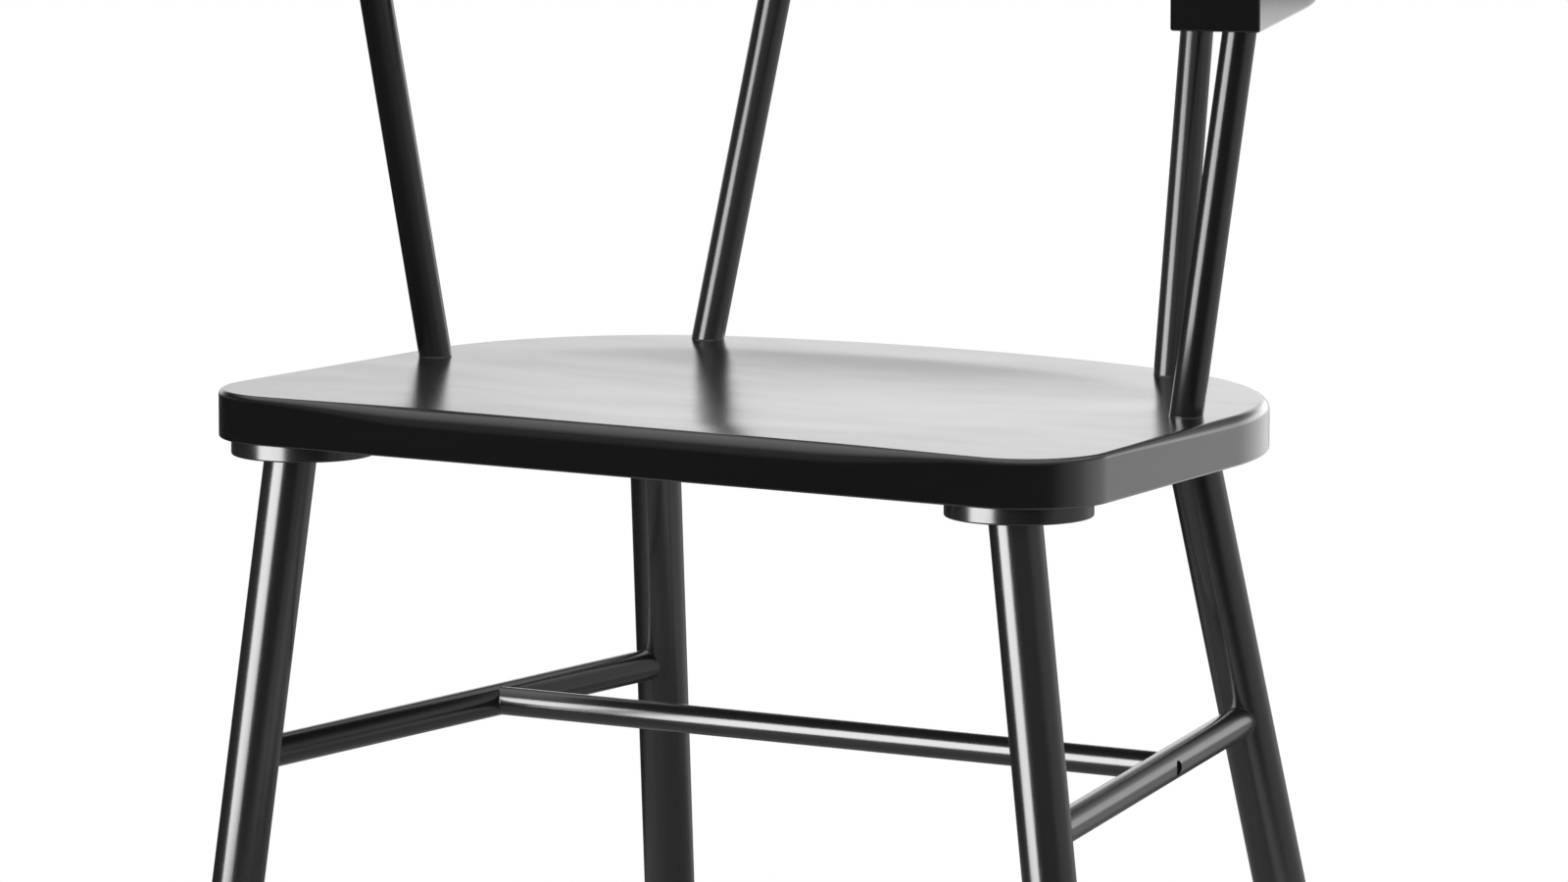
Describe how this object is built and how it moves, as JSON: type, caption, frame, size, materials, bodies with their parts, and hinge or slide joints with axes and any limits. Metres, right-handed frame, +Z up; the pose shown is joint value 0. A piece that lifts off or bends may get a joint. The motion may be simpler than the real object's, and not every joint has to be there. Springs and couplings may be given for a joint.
{
  "type": "armchair",
  "caption": "Low-back wooden armchair with a dished seat, splayed round legs, H stretchers and a bow of arms and back on plain posts.",
  "frame": {"origin": "on the floor, under the centre of the chair's bounding box", "axes": "+Z up, the chair faces -Y, the sitter's left is +X"},
  "size_m": [0.6514, 0.4635, 0.7675],
  "materials": {
    "black_lacquer": "semi-gloss black lacquer on close-grained hardwood",
    "dowel_beech": "bare beech, inside joints",
    "screw_steel": "black-zinc countersunk screw",
    "glide_nylon": "moulded nylon"
  },
  "bodies": {
    "root": {"back_crest": "black_lacquer", "back_rail": "black_lacquer", "bow_dowels": "dowel_beech", "crest_screws": "screw_steel", "cross_stretcher": "black_lacquer", "front_left_glide": "glide_nylon", "front_left_leg": "black_lacquer", "front_left_pad": "black_lacquer", "front_left_post": "black_lacquer", "front_right_glide": "glide_nylon", "front_right_leg": "black_lacquer", "front_right_pad": "black_lacquer", "front_right_post": "black_lacquer", "left_arm": "black_lacquer", "left_side_stretcher": "black_lacquer", "pad_screws": "screw_steel", "rear_left_glide": "glide_nylon", "rear_left_leg": "black_lacquer", "rear_left_pad": "black_lacquer", "rear_left_post": "black_lacquer", "rear_right_glide": "glide_nylon", "rear_right_leg": "black_lacquer", "rear_right_pad": "black_lacquer", "rear_right_post": "black_lacquer", "right_arm": "black_lacquer", "right_side_stretcher": "black_lacquer", "seat_board": "black_lacquer", "stretcher_screws": "screw_steel"}
  },
  "joints": []
}
